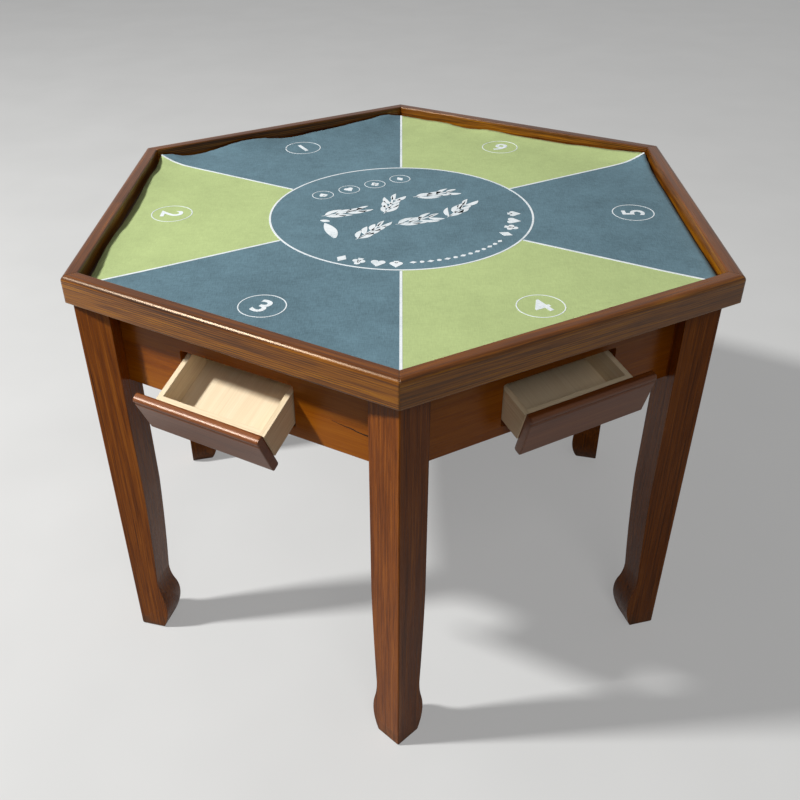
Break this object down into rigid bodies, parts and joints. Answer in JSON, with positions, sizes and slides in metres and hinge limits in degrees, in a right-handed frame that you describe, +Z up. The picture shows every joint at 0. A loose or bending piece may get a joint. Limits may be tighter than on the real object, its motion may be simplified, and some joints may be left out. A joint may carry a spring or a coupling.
{
  "type": "game table",
  "caption": "Hexagonal wooden game table with a raised rim, a laid playing mat, cornerwise tapered legs with hoof feet, and a small sliding drawer in each apron.",
  "frame": {"origin": "on the floor, under the centre of the top", "axes": "+Z up; +Y from the front leg's corner to the back leg's corner, the longest way across; +X to the right as seen from the front leg"},
  "size_m": [1.0392, 1.2, 0.755],
  "materials": {
    "stained_wood": "satin stained varnish",
    "drawer_wood": "bare sanded",
    "frame_wood": "bare planed",
    "panel_board": "bare plywood",
    "mat_fabric": "printed cloth",
    "steel": "zinc plated"
  },
  "bodies": {
    "table": {"top_panel": "panel_board", "playing_mat": "mat_fabric", "panel_cleats": "frame_wood", "panel_screws": "steel", "corner_braces": "frame_wood", "brace_bolts": "steel", "brace_washers": "steel", "brace_nuts": "steel", "pivot_blocks": "frame_wood", "pivot_pins": "steel", "rim_board_1": "stained_wood", "rim_board_2": "stained_wood", "rim_board_3": "stained_wood", "rim_board_4": "stained_wood", "rim_board_5": "stained_wood", "rim_board_6": "stained_wood", "apron_1": "stained_wood", "apron_2": "stained_wood", "apron_3": "stained_wood", "apron_4": "stained_wood", "apron_5": "stained_wood", "apron_6": "stained_wood", "leg_1": "stained_wood", "leg_2": "stained_wood", "leg_3": "stained_wood", "leg_4": "stained_wood", "leg_5": "stained_wood", "leg_6": "stained_wood"},
    "drawer_1_cradle": {"drawer_1_runners": "frame_wood"},
    "drawer_1": {"drawer_1_face": "stained_wood", "drawer_1_sides": "drawer_wood", "drawer_1_ends": "drawer_wood", "drawer_1_bottom": "drawer_wood"},
    "drawer_2_cradle": {"drawer_2_runners": "frame_wood"},
    "drawer_2": {"drawer_2_face": "stained_wood", "drawer_2_sides": "drawer_wood", "drawer_2_ends": "drawer_wood", "drawer_2_bottom": "drawer_wood"},
    "drawer_3_cradle": {"drawer_3_runners": "frame_wood"},
    "drawer_3": {"drawer_3_face": "stained_wood", "drawer_3_sides": "drawer_wood", "drawer_3_ends": "drawer_wood", "drawer_3_bottom": "drawer_wood"},
    "drawer_4_cradle": {"drawer_4_runners": "frame_wood"},
    "drawer_4": {"drawer_4_face": "stained_wood", "drawer_4_sides": "drawer_wood", "drawer_4_ends": "drawer_wood", "drawer_4_bottom": "drawer_wood"},
    "drawer_5_cradle": {"drawer_5_runners": "frame_wood"},
    "drawer_5": {"drawer_5_face": "stained_wood", "drawer_5_sides": "drawer_wood", "drawer_5_ends": "drawer_wood", "drawer_5_bottom": "drawer_wood"},
    "drawer_6_cradle": {"drawer_6_runners": "frame_wood"},
    "drawer_6": {"drawer_6_face": "stained_wood", "drawer_6_sides": "drawer_wood", "drawer_6_ends": "drawer_wood", "drawer_6_bottom": "drawer_wood"}
  },
  "joints": [
    {"name": "drawer_1_tilt", "type": "hinge", "parent": "table", "child": "drawer_1_cradle", "pos_m": [-0.23188, 0.3724, 0.6], "axis": [-0.8581, -0.5135, 0], "range_deg": [0, 28.02]},
    {"name": "drawer_1_slide", "type": "slide", "parent": "drawer_1_cradle", "child": "drawer_1", "axis": [-0.5135, 0.8581, 0], "range_m": [0, 0.07]},
    {"name": "drawer_2_tilt", "type": "hinge", "parent": "table", "child": "drawer_2_cradle", "pos_m": [-0.44295, -0.00682, 0.6], "axis": [0.0157, -0.9999, 0], "range_deg": [0, 28.02]},
    {"name": "drawer_2_slide", "type": "slide", "parent": "drawer_2_cradle", "child": "drawer_2", "axis": [-0.9999, -0.0157, 0], "range_m": [0, 0.07]},
    {"name": "drawer_3_tilt", "type": "hinge", "parent": "table", "child": "drawer_3_cradle", "pos_m": [-0.22007, -0.37922, 0.6], "axis": [0.8738, -0.4863, 0], "range_deg": [-24.62, 3.42]},
    {"name": "drawer_3_slide", "type": "slide", "parent": "drawer_3_cradle", "child": "drawer_3", "axis": [-0.4422, -0.7945, -0.4163], "range_m": [-0.0615, 0.0085]},
    {"name": "drawer_4_tilt", "type": "hinge", "parent": "table", "child": "drawer_4_cradle", "pos_m": [0.21388, -0.3724, 0.6], "axis": [0.8581, 0.5135, 0], "range_deg": [-16.02, 12.02]},
    {"name": "drawer_4_slide", "type": "slide", "parent": "drawer_4_cradle", "child": "drawer_4", "axis": [0.4936, -0.8248, -0.2756], "range_m": [-0.04, 0.03]},
    {"name": "drawer_5_tilt", "type": "hinge", "parent": "table", "child": "drawer_5_cradle", "pos_m": [0.42495, 0.00682, 0.6], "axis": [-0.0157, 0.9999, 0], "range_deg": [0, 28.02]},
    {"name": "drawer_5_slide", "type": "slide", "parent": "drawer_5_cradle", "child": "drawer_5", "axis": [0.9999, 0.0157, 0], "range_m": [0, 0.07]},
    {"name": "drawer_6_tilt", "type": "hinge", "parent": "table", "child": "drawer_6_cradle", "pos_m": [0.20207, 0.37922, 0.6], "axis": [-0.8738, 0.4863, 0], "range_deg": [0, 28.02]},
    {"name": "drawer_6_slide", "type": "slide", "parent": "drawer_6_cradle", "child": "drawer_6", "axis": [0.4863, 0.8738, 0], "range_m": [0, 0.07]}
  ],
  "couplings": [
    {"joint": "drawer_1_tilt", "follows": "drawer_1_slide", "rad_per_m": 6.9813},
    {"joint": "drawer_2_tilt", "follows": "drawer_2_slide", "rad_per_m": 6.9813},
    {"joint": "drawer_3_tilt", "follows": "drawer_3_slide", "rad_per_m": 6.9813},
    {"joint": "drawer_4_tilt", "follows": "drawer_4_slide", "rad_per_m": 6.9813},
    {"joint": "drawer_5_tilt", "follows": "drawer_5_slide", "rad_per_m": 6.9813},
    {"joint": "drawer_6_tilt", "follows": "drawer_6_slide", "rad_per_m": 6.9813}
  ]
}
